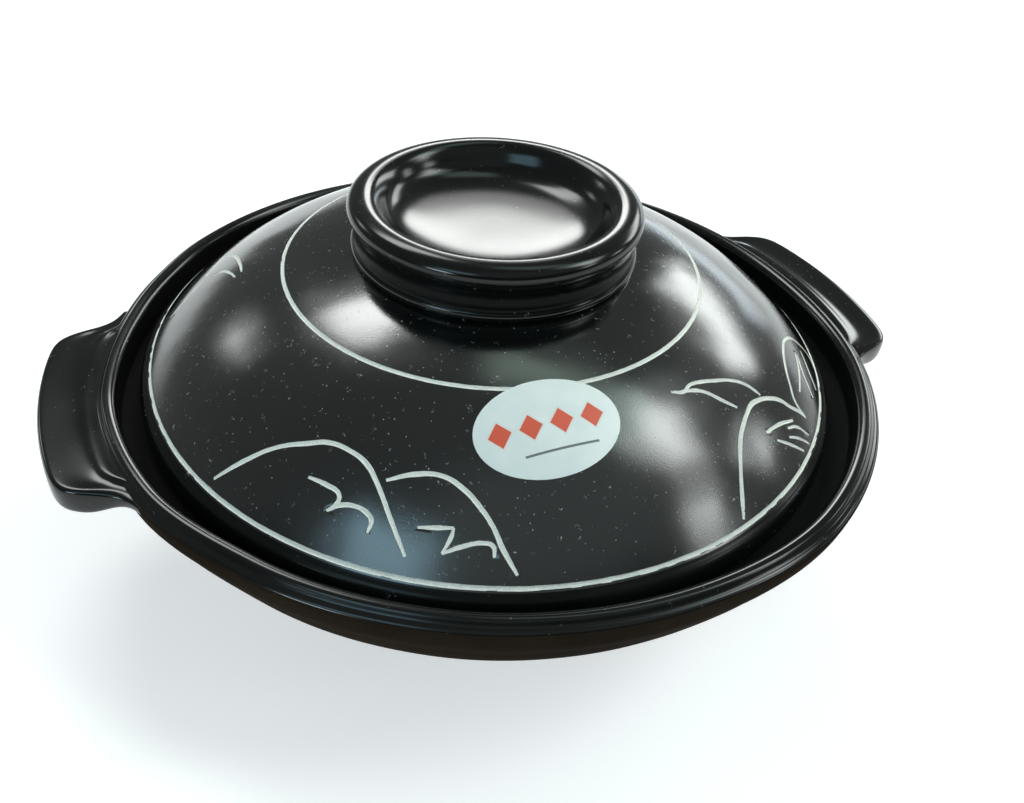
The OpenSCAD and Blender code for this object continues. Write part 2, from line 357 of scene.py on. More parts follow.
def dome_at(r, lift):
    """A point of the dome's profile, lifted off along its normal."""
    slope = dome_slope(r)
    length = hypot(slope, 1)
    return r - slope / length * lift, dome_z(r) + lift / length


def on_dome(angle, r, lift=0.0):
    """A point on the dome, in metres, from its direction in degrees and its radius."""
    out, height = dome_at(r, lift)
    turn = radians(angle)
    return Vector((out * cos(turn), out * sin(turn), height)) * MM


def lid_profile():
    """From the crown over the dome and its shoulder, under to the seat and the skirt, and
    back up the inside."""
    outside = [(DOME_END_R * i / 44, dome_z(DOME_END_R * i / 44)) for i in range(45)]
    edge_z = dome_z(DOME_END_R) + dome_slope(DOME_END_R) * (LID_R - DOME_END_R)
    turn = cubic(outside[-1], (LID_R - 0.9, outside[-1][1] - 0.7),
                 (LID_R, edge_z + 0.6), (LID_R, edge_z - 1.6), 8)[1:]
    foot = arc((LID_R - 1.5, LEDGE_Z + 1.5), 1.5, 0, -90, 4) + [(SKIRT_R + 3, LEDGE_Z)]
    foot += [(SKIRT_R, LEDGE_Z)] + arc((SKIRT_R - 1.2, LEDGE_Z - SKIRT_H + 1.2), 1.2, 0, -90, 3)
    foot += arc((SKIRT_IN_R + 1.2, LEDGE_Z - SKIRT_H + 1.2), 1.2, 270, 180, 3)
    inside = [dome_at(DOME_END_R * i / 22, -LID_WALL) for i in range(22, -1, -1)]
    inside = [p for p in inside if p[0] < SKIRT_IN_R - 0.5 and p[1] > LEDGE_Z + 1]
    foot += [(SKIRT_IN_R, inside[0][1] - 1)]
    return outside + turn + foot + inside


dome = turn_on_wheel("lid_dome_thrown", lid_profile(), 360)


# The lines scratched through the glaze

# Each line has a width in mm and points on the dome: direction in degrees, radius in mm.
CARVED_LINES = {
    "front_left_hill": (1.36, [
        (-155.5, 102), (-152.5, 96), (-148.5, 90), (-143.5, 86), (-140, 84), (-135.5, 84),
        (-132, 85.5), (-129, 89), (-126, 94), (-122.5, 100.5)]),
    "front_left_fold": (1.29, [
        (-140.5, 92), (-137, 92), (-134.5, 93), (-134.5, 95), (-135.5, 96.5)]),
    "front_left_fold_tail": (1.29, [
        (-135.5, 96.5), (-133.5, 94.5), (-131, 94), (-129.5, 94.5), (-128.5, 95.5),
        (-128.5, 98)]),
    "front_hill": (1.36, [
        (-128, 87.5), (-123.5, 85), (-119, 84.5), (-115.5, 86.5), (-112.5, 90),
        (-110.5, 93.5), (-109, 97.5), (-107, 102)]),
    "front_fold": (1.21, [(-121.5, 95), (-118.5, 94.5), (-116.2, 94.2)]),
    "front_fold_middle": (1.13, [(-116.2, 94.2), (-116.5, 96), (-117.5, 99)]),
    "front_fold_tail": (1.21, [
        (-117.5, 99), (-115, 97.5), (-111.7, 96.5), (-110.4, 97), (-110.2, 99)]),
    "leaf_upper": (1.13, [
        (-70.5, 72.5), (-67.7, 74), (-65, 73.5), (-62, 74.5), (-58.5, 76.5), (-55, 79),
        (-52.3, 82.5), (-51.3, 85.5), (-51, 87)]),
    "leaf_lower": (1.21, [(-67.7, 74), (-65, 75.2), (-63, 77), (-61, 80.5), (-58.7, 84.5)]),
    "right_hill": (1.44, [
        (-70.8, 103), (-69.5, 100), (-66.8, 95), (-63, 90), (-60, 88), (-57.5, 87),
        (-55, 86.5), (-52, 87.5), (-49.8, 89), (-47.2, 92), (-46, 95), (-44.5, 98),
        (-44, 100)]),
    "back_right_hill": (1.13, [
        (-44, 100), (-43.5, 96), (-41, 93.5), (-36.7, 91), (-30.5, 90.5), (-27.5, 91.7),
        (-24, 95.5), (-23, 99.5), (-23.5, 102.5), (-26.5, 104)]),
    "back_right_fold_a": (0.98, [(-28.5, 95.3), (-33.5, 96), (-39.7, 96.7)]),
    "back_right_fold_b": (0.98, [(-29, 96), (-33, 97.6), (-37, 101.4)]),
    "back_right_fold_c": (0.98, [(-25.5, 98.3), (-30.3, 100.4), (-33.6, 102.7)]),
    "right_fold_a": (1.21, [(-56.5, 93), (-52, 94.5), (-48, 97)]),
    "right_fold_b": (1.06, [(-50.8, 96.7), (-48.3, 98.5), (-46.7, 102.3)]),
    "right_fold_c": (0.98, [(-52, 98), (-50, 100), (-48, 103.3)]),
    "right_fold_d": (1.06, [(-55.3, 96), (-53, 99), (-50.7, 102.7)]),
    "back_left_curl": (1.21, [(145.4, 88.5), (150.2, 82), (156.5, 77.5), (160.5, 76)]),
    "back_left_curl_tip": (1.06, [(154.5, 87.5), (155, 84.5), (158.3, 80.3), (161.7, 77.8)]),
    "back_left_line": (0.98, [(143, 90), (154, 92.7), (156.7, 95), (160.4, 100)]),
}


def carve(piece, cutter, raggedness, grain=1.1):
    """Cuts a ragged round tool mark into a piece, and takes the tool away."""
    chips = bpy.data.textures.new("chipped_edge", "CLOUDS")
    chips.noise_scale = grain * MM
    finish_modifier(cutter, "DISPLACE", texture=chips, strength=raggedness * MM,
                    mid_level=0.5, texture_coords="LOCAL")
    finish_modifier(piece, "BOOLEAN", operation="DIFFERENCE", object=cutter, solver="MANIFOLD")
    bpy.data.objects.remove(cutter)
    return piece


def tool_tube(width, depth):
    """The radius of the round tool that leaves a groove, and how high its axis runs."""
    radius = (width * width / 4 + depth * depth) / (2 * depth)
    return radius, radius - depth


def line_cutter(name, width, stroke):
    """A stroke: a line of points on the dome made a curve with a round section."""
    radius, lift = tool_tube(width, GROOVE_SHARE * width)
    piece = trace_line(name, [on_dome(a, r, lift) for a, r in stroke])
    take(piece)
    bpy.ops.object.convert(target="CURVE")
    piece = bpy.context.object
    bpy.ops.object.mode_set(mode="EDIT")
    bpy.ops.curve.select_all(action="SELECT")
    bpy.ops.curve.spline_type_set(type="BEZIER")
    bpy.ops.curve.handle_type_set(type="AUTOMATIC")
    bpy.ops.object.mode_set(mode="OBJECT")
    curve = piece.data
    curve.dimensions = "3D"
    curve.resolution_u = 10
    curve.bevel_depth = radius * MM
    curve.bevel_resolution = 3
    curve.use_fill_caps = True
    points = curve.splines[0].bezier_points
    for i, point in enumerate(points):
        point.radius = 0.72 if i in (0, len(points) - 1) else 1.0 + 0.07 * sin(2.3 * i)
    bpy.ops.object.convert(target="MESH")
    piece = bpy.context.object
    bpy.ops.object.mode_set(mode="EDIT")
    close_up()
    lay_down()
    return piece


def ring_cutter(name, r, width, depth):
    """A turned ring: a thin hoop laid round the dome."""
    radius, lift = tool_tube(width, depth)
    out, height = dome_at(r, lift)
    lay_down()
    bpy.ops.mesh.primitive_torus_add(major_segments=1200, minor_segments=12,
                                     major_radius=out * MM, minor_radius=radius * MM,
                                     location=(0, 0, height * MM))
    piece = name_piece(bpy.context.object, name)
    return settle(piece)


take(dome)
bpy.ops.object.duplicate(linked=False)
smooth_dome = name_piece(bpy.context.object, "uncut_dome")

lower_ring = ring_cutter("lower_ring", RING_LOW_R, width=1.3, depth=0.4)
carve(dome, lower_ring, raggedness=0.16, grain=0.9)
upper_ring = ring_cutter("upper_ring", RING_HIGH_R, width=1.25, depth=0.4)
carve(dome, upper_ring, raggedness=0.16, grain=0.7)
for line_name, (line_width, line_points) in CARVED_LINES.items():
    carve(dome, line_cutter(line_name, line_width, line_points), raggedness=0.12)


# The knob
def knob_profile():
    """A foot ridge, a hollow waist, an upper bead and a dish with a step in its side."""
    ridge_z = CROWN_Z - 0.2
    bead_z = KNOB_CREST_Z - 3.7
    foot = [(0, CROWN_Z - 12), (20, CROWN_Z - 12), (KNOB_BASE_R - 4, CROWN_Z - 12),
            (KNOB_BASE_R - 2.2, ridge_z - 2.0)]
    foot += arc((KNOB_BASE_R - 1.7, ridge_z), 1.7, -55, 60, 6)
    waist = cubic((KNOB_BASE_R - 0.75, ridge_z + 1.9), (KNOB_WAIST_R - 0.3, ridge_z + 4),
                  (KNOB_WAIST_R - 0.5, bead_z - 4), (KNOB_R - 0.9, bead_z - 2.4), 10)
    bead = arc((KNOB_R - 3, bead_z), 3, -40, 0, 4)
    bead += cubic((KNOB_R, bead_z + 0.3), (KNOB_R, bead_z + 2.3),
                  (KNOB_CREST_R + 3, KNOB_CREST_Z), (KNOB_CREST_R, KNOB_CREST_Z), 10)
    dish = cubic((KNOB_CREST_R - 0.4, KNOB_CREST_Z), (KNOB_CREST_R - 2.6, KNOB_CREST_Z),
                 (KNOB_CREST_R - 4, KNOB_CREST_Z - 1.6),
                 (KNOB_CREST_R - 5.4, KNOB_CREST_Z - 3.8), 8)
    dish += cubic((KNOB_CREST_R - 5.7, KNOB_CREST_Z - 4.3), (KNOB_CREST_R - 8.6, DISH_Z + 1.2),
                  (KNOB_CREST_R - 15, DISH_Z), (0, DISH_Z), 16)
    return foot + waist + bead + dish


knob = turn_on_wheel("lid_knob_dished", knob_profile(), 256)


# The label
def lay_label():
    """An oval sheet, cut out, laid on the dome and given the thickness of foil."""
    lay_down()
    bpy.ops.mesh.primitive_circle_add(vertices=96, radius=0.5 * MM, fill_type="NOTHING")
    piece = name_piece(bpy.context.object, "label_oval")
    bpy.ops.object.mode_set(mode="EDIT")
    bpy.ops.mesh.fill_grid(span=24)
    bpy.ops.mesh.select_all(action="SELECT")
    bpy.ops.transform.resize(value=(LABEL_SIZE[0], LABEL_SIZE[1], 1))
    bpy.ops.object.mode_set(mode="OBJECT")
    tilt = Matrix.Rotation(-atan(dome_slope(LABEL_R)), 4, "Y")
    turn = Matrix.Rotation(radians(LABEL_TURN), 4, "Z")
    around = Matrix.Rotation(radians(LABEL_ANGLE), 4, "Z")
    place = Matrix.Translation(Vector((LABEL_R, 0, dome_z(LABEL_R) + 3)) * MM)
    piece.matrix_world = around @ place @ tilt @ turn
    settle(piece)
    finish_modifier(piece, "SHRINKWRAP", target=smooth_dome, wrap_method="NEAREST_SURFACEPOINT",
                    offset=0.04 * MM, wrap_mode="ABOVE_SURFACE")
    finish_modifier(piece, "SUBSURF", levels=1, render_levels=1)
    finish_modifier(piece, "SOLIDIFY", thickness=0.14 * MM, offset=1)
    return piece


label = lay_label()


# Node groups and materials
def add_node(tree, kind, settings=None, **inputs):
    """One node with its settings; an input is a value or another node's output."""
    node = tree.nodes.new(kind)
    for key, value in (settings or {}).items():
        setattr(node, key, value)
    for key, value in inputs.items():
        socket = node.inputs[int(key[2:]) if key.startswith("in") else key.replace("_", " ")]
        if isinstance(value, bpy.types.NodeSocket):
            tree.links.new(value, socket)
        else:
            socket.default_value = value
    return node


def math(tree, operation, a, b=0.0, c=0.0):
    node = add_node(tree, "ShaderNodeMath", {"operation": operation}, in0=a, in1=b, in2=c)
    return node.outputs[0]


def blend_colour(tree, factor, a, b):
    node = add_node(tree, "ShaderNodeMix", {"data_type": "RGBA"}, in0=factor, in6=a, in7=b)
    return node.outputs[2]


def blend_value(tree, factor, a, b):
    node = add_node(tree, "ShaderNodeMix", {"data_type": "FLOAT"}, in0=factor, in2=a, in3=b)
    return node.outputs[0]


def ramp(tree, value, low, high, start=0.0, end=1.0):
    """A smooth step of a value from start at low to end at high."""
    return add_node(tree, "ShaderNodeMapRange", {"interpolation_type": "SMOOTHSTEP"}, in0=value,
                    in1=low, in2=high, in3=start, in4=end).outputs[0]


def new_group(name, inputs, outputs):
    """A node group. An input with a tuple is a colour, and so is an output named Color."""
    group = bpy.data.node_groups.new(name, "ShaderNodeTree")
    for socket, value in inputs.items():
        kind = "NodeSocketColor" if isinstance(value, tuple) else "NodeSocketFloat"
        made = group.interface.new_socket(name=socket, in_out="INPUT", socket_type=kind)
        made.default_value = value
    for socket in outputs:
        kind = "NodeSocketColor" if socket == "Color" else "NodeSocketFloat"
        group.interface.new_socket(name=socket, in_out="OUTPUT", socket_type=kind)
    return (group, group.nodes.new("NodeGroupInput").outputs,
            group.nodes.new("NodeGroupOutput").inputs)


def round_coordinates(tree):
    """Radius and height of the surface point, in metres, and its raw Object coordinates."""
    place = tree.nodes.new("ShaderNodeTexCoord").outputs["Object"]
    parts = add_node(tree, "ShaderNodeSeparateXYZ", None, in0=place)
    square = math(tree, "ADD", math(tree, "MULTIPLY", parts.outputs[0], parts.outputs[0]),
                  math(tree, "MULTIPLY", parts.outputs[1], parts.outputs[1]))
    return math(tree, "SQRT", square), parts.outputs[2], place


def make_glaze_tone():
    """Slow drifts of a dark glaze between two tints, and where it lies thinner."""
    group, got, out = new_group(
        "glaze_tone",
        {"Deep": (0.005, 0.006, 0.0055, 1), "Drift": (0.009, 0.011, 0.01, 1), "Scale": 14.0},
        ("Color", "Thin"))
    place = group.nodes.new("ShaderNodeTexCoord").outputs["Object"]
    slow = add_node(group, "ShaderNodeTexNoise", None, Vector=place, Scale=got["Scale"],
                    Detail=3.0, Roughness=0.55)
    mask = ramp(group, slow.outputs["Fac"], 0.35, 0.68)
    colour = blend_colour(group, mask, got["Deep"], got["Drift"])
    group.links.new(colour, out["Color"])
    group.links.new(mask, out["Thin"])
    return group


def make_turning_marks():
    """Fine rings that the wheel leaves, which follow the radius and the height."""
    group, got, out = new_group(
        "turning_marks", {"Spacing": 900.0, "Grain": 1500.0, "Grain Height": 0.3}, ("Height",))
    radius, height, place = round_coordinates(group)
    rings = add_node(group, "ShaderNodeCombineXYZ", None, in0=radius, in1=height)
    lines = add_node(group, "ShaderNodeTexNoise", {"noise_dimensions": "2D"},
                     Vector=rings.outputs[0], Scale=got["Spacing"], Detail=2.0,
                     Roughness=0.5)
    grain = add_node(group, "ShaderNodeTexNoise", None, Vector=place,
                     Scale=got["Grain"], Detail=2.0, Roughness=0.5)
    total = math(group, "ADD", lines.outputs["Fac"],
                 math(group, "MULTIPLY", grain.outputs["Fac"], got["Grain Height"]))
    group.links.new(total, out["Height"])
    return group


def make_dust():
    """Tiny pale specks in loose clusters, and short curls of lint."""
    group, got, out = new_group(
        "dust_specks", {"Spacing": 420.0, "Size": 0.09, "Share": 0.62, "Lint": 0.62}, ("Mask",))
    place = group.nodes.new("ShaderNodeTexCoord").outputs["Object"]
    cells = add_node(group, "ShaderNodeTexVoronoi", {"feature": "F1"}, Vector=place,
                     Scale=got["Spacing"], Randomness=1.0)
    pick = add_node(group, "ShaderNodeSeparateXYZ", None, in0=cells.outputs["Color"])
    clusters = add_node(group, "ShaderNodeTexNoise", None, Vector=place, Scale=38.0, Detail=2.0)
    chosen = math(group, "GREATER_THAN",
                  math(group, "ADD", math(group, "MULTIPLY", pick.outputs[0], 0.5),
                       math(group, "MULTIPLY", clusters.outputs["Fac"], 0.72)),
                  got["Share"])
    size = math(group, "MULTIPLY", got["Size"],
                math(group, "ADD", pick.outputs[1], 0.35))
    dot = math(group, "MULTIPLY", math(group, "LESS_THAN", cells.outputs["Distance"], size),
               chosen)
    curls = add_node(group, "ShaderNodeTexNoise", None, Vector=place, Scale=620.0, Detail=1.0,
                     Distortion=0.5)
    thread = math(group, "LESS_THAN", math(group, "ABSOLUTE", math(
        group, "SUBTRACT", curls.outputs["Fac"], 0.5)), 0.007)
    bits = add_node(group, "ShaderNodeTexNoise", None, Vector=place, Scale=520.0, Detail=0.0)
    lint = math(group, "MULTIPLY", thread,
                math(group, "GREATER_THAN", bits.outputs["Fac"], got["Lint"]))
    group.links.new(math(group, "MAXIMUM", dot, lint), out["Mask"])
    return group


def make_clay_tone():
    """Pale fired clay with fine grit."""
    group, got, out = new_group(
        "bare_clay_tone", {"Light": (0.8, 0.8, 0.72, 1), "Dark": (0.42, 0.41, 0.35, 1)},
        ("Color", "Height"))
    place = group.nodes.new("ShaderNodeTexCoord").outputs["Object"]
    grit = add_node(group, "ShaderNodeTexNoise", None, Vector=place, Scale=2200.0, Detail=3.0,
                    Roughness=0.6)
    colour = blend_colour(group, ramp(group, grit.outputs["Fac"], 0.38, 0.62),
                          got["Dark"], got["Light"])
    group.links.new(colour, out["Color"])
    group.links.new(grit.outputs["Fac"], out["Height"])
    return group


GLAZE_TONE = make_glaze_tone()
TURNING_MARKS = make_turning_marks()
DUST = make_dust()
CLAY_TONE = make_clay_tone()


def new_material(name):
    material = bpy.data.materials.new(name)
    material.use_nodes = True
    tree = material.node_tree
    return material, tree, tree.nodes["Principled BSDF"]


def use_group(tree, group, **inputs):
    return add_node(tree, "ShaderNodeGroup", {"node_tree": group}, **inputs)


def make_lid_glaze():
    """Satin black: soft over the dome, and glossier near the knob and seen aslant."""
    material, tree, surface = new_material("lid_satin_glaze")
    surface.inputs["IOR"].default_value = 1.85
    tone = use_group(tree, GLAZE_TONE, Deep=(0.0035, 0.0045, 0.0043, 1),
                     Drift=(0.0065, 0.0085, 0.0080, 1), Scale=16.0)
    dust = use_group(tree, DUST, Spacing=760.0, Size=0.10, Share=0.64, Lint=0.735)
    radius, _, place = round_coordinates(tree)
    colour = blend_colour(tree, math(tree, "MULTIPLY", dust.outputs["Mask"], 0.7),
                          tone.outputs["Color"], (0.5, 0.52, 0.5, 1))
    tree.links.new(colour, surface.inputs["Base Color"])
    satin = math(tree, "ADD", 0.17, ramp(tree, radius, 0.044, 0.062, -0.06, 0.0))
    rough = math(tree, "ADD", satin, math(tree, "MULTIPLY", tone.outputs["Thin"], 0.02))
    aslant = add_node(tree, "ShaderNodeLayerWeight", None, Blend=0.5).outputs["Facing"]
    aslant = math(tree, "MULTIPLY", ramp(tree, aslant, 0.62, 0.86),
                  ramp(tree, radius, 0.106, 0.100))
    rough = blend_value(tree, aslant, rough, 0.06)
    rough = blend_value(tree, dust.outputs["Mask"], rough, 0.8)
    tree.links.new(rough, surface.inputs["Roughness"])
    marks = use_group(tree, TURNING_MARKS, Spacing=160.0, Grain=2600.0, Grain_Height=1.6)
    waves = add_node(tree, "ShaderNodeTexNoise", None, Vector=place, Scale=42.0, Detail=1.0)
    soft = add_node(tree, "ShaderNodeBump", None, Strength=1.0, Distance=0.0006,
                    Height=waves.outputs["Fac"])
    bump = add_node(tree, "ShaderNodeBump", None, Strength=0.045, Distance=0.0003,
                    Height=marks.outputs["Height"], Normal=soft.outputs["Normal"])
    tree.links.new(bump.outputs["Normal"], surface.inputs["Normal"])
    return material


def make_gloss_glaze(name, roughness, ring_scale, ring_depth, ior):
    """Gloss black with the wheel's faint rings, and a little dust."""
    material, tree, surface = new_material(name)
    surface.inputs["IOR"].default_value = ior
    tone = use_group(tree, GLAZE_TONE, Deep=(0.0030, 0.0036, 0.0034, 1),
                     Drift=(0.0065, 0.0075, 0.0068, 1), Scale=20.0)
    dust = use_group(tree, DUST, Spacing=620.0, Size=0.08, Share=0.76, Lint=0.78)
    colour = blend_colour(tree, math(tree, "MULTIPLY", dust.outputs["Mask"], 0.5),
                          tone.outputs["Color"], (0.45, 0.47, 0.45, 1))
    rough = math(tree, "ADD", math(tree, "MULTIPLY", tone.outputs["Thin"], 0.05), roughness)
    marks = use_group(tree, TURNING_MARKS, Spacing=ring_scale, Grain=700.0, Grain_Height=0.35)
    tree.links.new(colour, surface.inputs["Base Color"])
    tree.links.new(rough, surface.inputs["Roughness"])
    bump = add_node(tree, "ShaderNodeBump", None, Strength=ring_depth, Distance=0.0006,
                    Height=marks.outputs["Height"])
    tree.links.new(bump.outputs["Normal"], surface.inputs["Normal"])
    return material


def make_belly_painted_reflection():
    """Brown belly, a painted reflection of a brown table, and bare clay where the foot was
    wiped.
    """
    material, tree, surface = new_material("belly_brown_painted_reflection")
    surface.inputs["IOR"].default_value = 1.02
    # The warm tint of its faint reflection is part of the same painted reflection.
    surface.inputs["Specular Tint"].default_value = (0.9, 0.72, 0.6, 1)
    tone = use_group(tree, GLAZE_TONE, Deep=(0.0190, 0.0135, 0.0096, 1),
                     Drift=(0.0285, 0.0197, 0.0130, 1), Scale=26.0)
    _, z, place = round_coordinates(tree)
    clay = use_group(tree, CLAY_TONE, Light=(0.60, 0.50, 0.38, 1), Dark=(0.40, 0.32, 0.23, 1))
    wobble = add_node(tree, "ShaderNodeTexNoise", None, Vector=place, Scale=60.0)
    edge = math(tree, "ADD", z, math(tree, "MULTIPLY", wobble.outputs["Fac"], 0.0008))
    foot = ramp(tree, edge, 0.0021, 0.0017)
    grain = add_node(tree, "ShaderNodeTexNoise", None, Vector=place, Scale=420.0, Detail=4.0)
    tree.links.new(blend_colour(tree, foot, tone.outputs["Color"], clay.outputs["Color"]),
                   surface.inputs["Base Color"])
    satin = math(tree, "ADD", math(tree, "MULTIPLY", grain.outputs["Fac"], 0.12), 0.46)
    tree.links.new(blend_value(tree, foot, satin, 0.85), surface.inputs["Roughness"])
    marks = use_group(tree, TURNING_MARKS, Spacing=240.0, Grain=900.0, Grain_Height=0.8)
    bump = add_node(tree, "ShaderNodeBump", None, Strength=0.12, Distance=0.0006,
                    Height=marks.outputs["Height"])
    tree.links.new(bump.outputs["Normal"], surface.inputs["Normal"])
    return material


def make_seat_painted_shade():
    """The lid's seat in the channel: near-black clay, painted shade for the gap under the lid's
    edge.
    """
    material, tree, surface = new_material("dark_seat_clay")
    surface.inputs["IOR"].default_value = 1.15
    grit = add_node(tree, "ShaderNodeTexNoise", None, Scale=700.0, Detail=3.0,
                    Vector=tree.nodes.new("ShaderNodeTexCoord").outputs["Object"])
    tree.links.new(blend_colour(tree, grit.outputs["Fac"], (0.002, 0.0022, 0.002, 1),
                                (0.007, 0.0075, 0.007, 1)), surface.inputs["Base Color"])
    tree.links.new(math(tree, "ADD", math(tree, "MULTIPLY", grit.outputs["Fac"], 0.2), 0.6),
                   surface.inputs["Roughness"])
    bump = add_node(tree, "ShaderNodeBump", None, Strength=0.2, Distance=0.0003,
                    Height=grit.outputs["Fac"])
    tree.links.new(bump.outputs["Normal"], surface.inputs["Normal"])
    return material


def make_scratched_clay():
    """The pale clay that shows where a line or a ring is scratched through the glaze."""
    material, tree, surface = new_material("scratched_clay")
    surface.inputs["Roughness"].default_value = 0.85
    clay = use_group(tree, CLAY_TONE, Light=(0.95, 0.96, 0.90, 1), Dark=(0.82, 0.83, 0.76, 1))
    tree.links.new(clay.outputs["Color"], surface.inputs["Base Color"])
    bump = add_node(tree, "ShaderNodeBump", None, Strength=0.3, Distance=0.0002,
                    Height=clay.outputs["Height"])
    tree.links.new(bump.outputs["Normal"], surface.inputs["Normal"])
    return material


def make_label_foil():
    """Pale satin foil with faint creases and a painted sheen, a row of plain red lozenges and a
    thin line.
    """
    material, tree, surface = new_material("label_satin_foil")
    surface.inputs["Metallic"].default_value = 0.05
    place = tree.nodes.new("ShaderNodeTexCoord").outputs["Object"]
    turned = add_node(tree, "ShaderNodeMapping", {"vector_type": "POINT"}, Vector=place,
                      Rotation=(0, 0, radians(-90 - LABEL_ANGLE - MARK_TURN)))
    parts = add_node(tree, "ShaderNodeSeparateXYZ", None, in0=turned.outputs[0])
    along = math(tree, "ADD", math(tree, "MULTIPLY", parts.outputs[0], 1000.0),
                 LABEL_R * sin(radians(MARK_TURN)))
    up = math(tree, "ADD", math(tree, "MULTIPLY", parts.outputs[1], 1000.0),
              LABEL_R * cos(radians(MARK_TURN)))
    crease = add_node(tree, "ShaderNodeTexNoise", None, Vector=place, Scale=110.0, Detail=3.0)
    # Painted sheen: the foil turns paler towards one end of the oval and along the creases.
    painted_sheen_amount = math(tree, "ADD", math(tree, "MULTIPLY", crease.outputs["Fac"], 1.6),
                  math(tree, "MULTIPLY", along, 0.018))
    painted_sheen = blend_colour(tree, ramp(tree, painted_sheen_amount, 0.45, 1.25),
                         (0.84, 0.92, 0.90, 1), (0.93, 0.98, 0.95, 1))
    mark = mark_edge = 0.0
    for middle in MARKS_ALONG:
        reach = math(tree, "ADD",
                     math(tree, "ABSOLUTE", math(tree, "SUBTRACT", along, middle)),
                     math(tree, "ABSOLUTE", math(tree, "SUBTRACT", up, MARKS_UP)))
        mark = math(tree, "MAXIMUM", mark, math(tree, "LESS_THAN", reach, MARK_REACH))
        mark_edge = math(tree, "MAXIMUM", mark_edge,
                         math(tree, "LESS_THAN", reach, MARK_REACH + MARK_EDGE))
    across_line = math(tree, "ABSOLUTE", math(tree, "ADD", up, LINE_DOWN))
    along_line = math(tree, "ABSOLUTE", math(tree, "SUBTRACT", along, LINE_ALONG))
    line = math(tree, "MULTIPLY", math(tree, "LESS_THAN", across_line, LINE_THICK),
                math(tree, "LESS_THAN", along_line, LINE_HALF))
    printed = blend_colour(tree, mark_edge, painted_sheen, (0.86, 0.87, 0.84, 1))
    printed = blend_colour(tree, mark, printed, (0.82, 0.13, 0.07, 1))
    printed = blend_colour(tree, line, printed, (0.16, 0.19, 0.19, 1))
    tree.links.new(printed, surface.inputs["Base Color"])
    surface.inputs["Roughness"].default_value = 0.42
    bump = add_node(tree, "ShaderNodeBump", None, Strength=0.12, Distance=0.0006,
                    Height=crease.outputs["Fac"])
    tree.links.new(bump.outputs["Normal"], surface.inputs["Normal"])
    return material


LID_GLAZE = make_lid_glaze()
# Gloss glazes: roughness, how close and how deep the wheel's rings are, and the IOR, which is
# low so that little of the pale floor is reflected, and lowest as painted shade on the knob's
# waist and the lid's edge.
RIM_GLAZE = make_gloss_glaze("rim_gloss_glaze", 0.13, 420.0, 0.004, 1.42)
EAR_GLAZE = make_gloss_glaze("ear_gloss_glaze", 0.10, 300.0, 0.008, 1.42)
KNOB_GLAZE = make_gloss_glaze("knob_gloss_glaze", 0.13, 200.0, 0.015, 1.40)
WAIST_SHADED_GLAZE = make_gloss_glaze("knob_waist_shaded_glaze", 0.16, 200.0, 0.015, 1.16)
EDGE_SHADED_GLAZE = make_gloss_glaze("lid_edge_shaded_glaze", 0.18, 420.0, 0.004, 1.24)
BELLY_PAINTED_REFLECTION = make_belly_painted_reflection()
SEAT_PAINTED_SHADE = make_seat_painted_shade()
CLAY = make_scratched_clay()
FOIL = make_label_foil()


def paint(piece, *materials):
    piece.data.materials.clear()
    for material in materials:
        piece.data.materials.append(material)
    return piece


def faces_out(normal, place):
    """Whether a surface turns away from the pot's upright axis."""
    return normal.dot(place * Vector((1, 1, 0))) > 0.00001


paint(right_ear, EAR_GLAZE)
paint(left_ear, EAR_GLAZE)
paint(label, FOIL)

# The glaze of the rim ends at the side of the bead; the seat of the lid is painted near-black as
# shade.
RIM_GLAZE_END = POT_H - 2.5
SHADED_SEAT_LOW, SHADED_SEAT_HIGH = POT_H - 16, POT_H - 2.2
# Below the rim glaze the belly is brown, a painted reflection of a brown table.
paint(bowl, RIM_GLAZE, BELLY_PAINTED_REFLECTION, SEAT_PAINTED_SHADE)
for face in bowl.data.polygons:
    r, z = hypot(face.center.x, face.center.y) / MM, face.center.z / MM
    if LEDGE_IN_R - 0.5 < r < CHANNEL_R + 0.3 and SHADED_SEAT_LOW < z < SHADED_SEAT_HIGH:
        face.material_index = 2
    elif z < RIM_GLAZE_END and (faces_out(face.normal, face.center) or face.normal.z < -0.2):
        face.material_index = 1

# The knob's waist, between its foot ridge and its bead, reflects less: painted shade in the
# recess.
WAIST_LOW, WAIST_HIGH = CROWN_Z + 0.9, KNOB_CREST_Z - 5.9
paint(knob, KNOB_GLAZE, WAIST_SHADED_GLAZE)
for face in knob.data.polygons:
    r, z = hypot(face.center.x, face.center.y) / MM, face.center.z / MM
    if r > KNOB_WAIST_R - 1 and WAIST_LOW < z < WAIST_HIGH:
        face.material_index = 1


# A rim pressed by hand

# Direction and half spread in degrees, move outward and reach in mm. The first press moves
# the whole rim to one side, and the others bulge or dent it over a part of its round.
RIM_PRESSES = (
    (68.0, 180.0, 2.8, 15.0),
    (-170.0, 10.0, 2.4, 38.0),
    (-42.0, 18.0, 3.0, 62.0),
    (148.0, 6.0, -1.0, 26.0),
    (-112.0, 8.0, -0.7, 40.0),
)


def press_rim(piece, angle, half_spread, move, reach):
    """In edit mode: a hand pushes the rim over part of its round, and the clay beside it
    and down the belly gives way."""
    mesh = bmesh.from_edit_mesh(piece.data)
    for vert in mesh.verts:
        here = degrees(atan2(vert.co.y, vert.co.x))
        off = abs((here - angle + 180) % 360 - 180)
        vert.select = (not vert.hide and off <= half_spread
                       and vert.co.z > (POT_H - BAND_H - 1) * MM)
    mesh.select_flush_mode()
    push = Vector((cos(radians(angle)), sin(radians(angle)), 0)) * move * MM
    bpy.ops.transform.translate(value=push, use_proportional_edit=True,
                                proportional_edit_falloff="SMOOTH", proportional_size=reach * MM)


